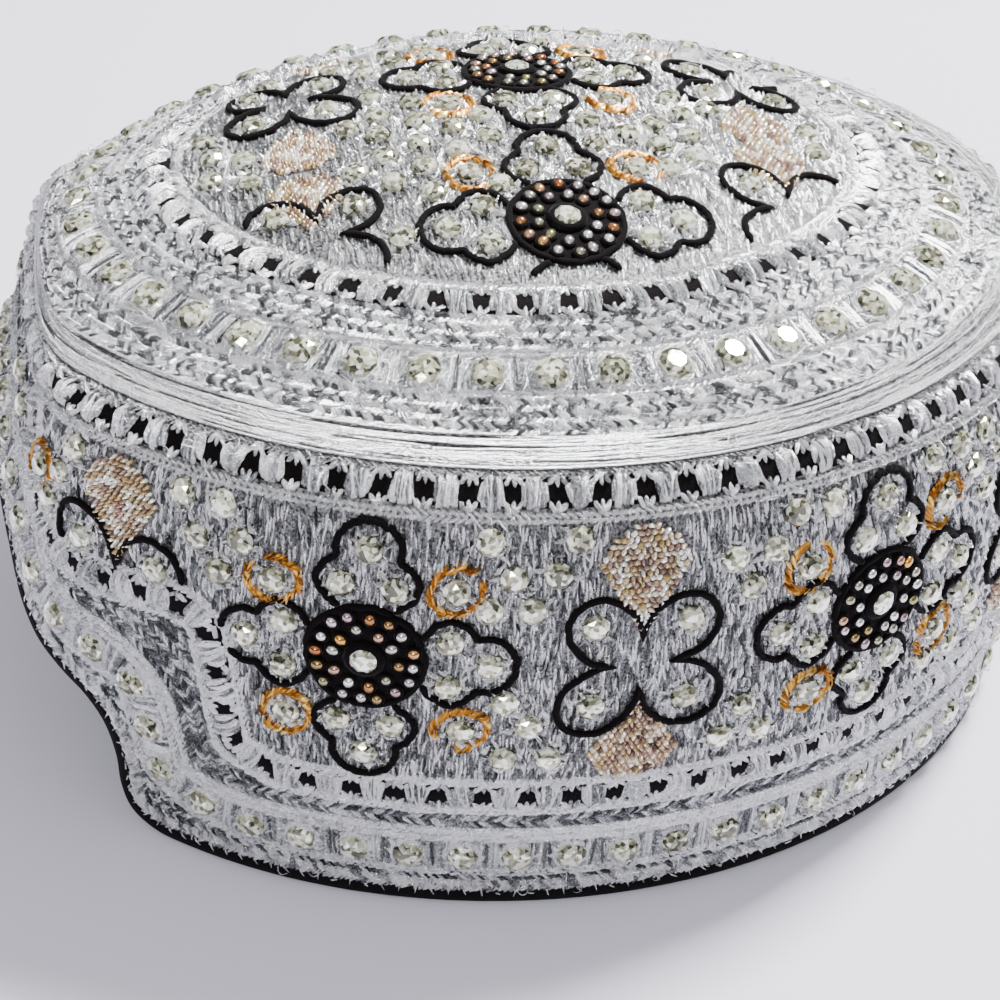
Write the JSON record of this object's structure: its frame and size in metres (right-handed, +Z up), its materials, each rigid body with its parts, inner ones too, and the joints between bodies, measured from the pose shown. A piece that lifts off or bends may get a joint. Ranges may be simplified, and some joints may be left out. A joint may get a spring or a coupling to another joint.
{
  "type": "sindhi cap",
  "caption": "Oval embroidered cap with a domed crown, an upright side band, an arched cut-out over the forehead, silver flower embroidery and rows of clear crystals.",
  "frame": {"origin": "centre of the outline in plan, on the surface that the rim stands on", "axes": "+Z up; -Y towards the arched front over the forehead; +X towards the wearer's left"},
  "size_m": [0.176, 0.1995, 0.1092],
  "materials": {
    "crown_cloth": "silver metal-thread embroidery",
    "band_cloth": "silver metal-thread embroidery",
    "black_binding": "matt black tape",
    "puff_braid": "silver puffs over black thread",
    "crystal_braid": "silver braid set with clear cut crystals",
    "flower_centre": "black thread loops round silver and gold beads",
    "silver_thread": "couched silver thread",
    "black_cord": "matt black couched cord",
    "gold_thread": "orange-gold metal thread",
    "champagne_knots": "knots of gold and copper thread",
    "clear_crystal": "foiled cut glass, faintly yellow",
    "metal_bead": "tiny polished metal-coloured beads"
  },
  "bodies": {
    "root": {"crown_top": "crown_cloth", "side_band": "band_cloth", "edge_binding": "black_binding", "crown_puff_braid": "puff_braid", "band_top_puff_braid": "puff_braid", "band_lower_puff_braid": "puff_braid", "crown_crystal_ring": "crystal_braid", "rim_crystal_row": "crystal_braid", "flower_centre_crown_near": "flower_centre", "flower_centre_crown_far": "flower_centre", "flower_centre_left_front": "flower_centre", "flower_centre_left_back": "flower_centre", "flower_centre_back": "flower_centre", "flower_centre_right_back": "flower_centre", "flower_centre_right_front": "flower_centre"}
  },
  "joints": []
}
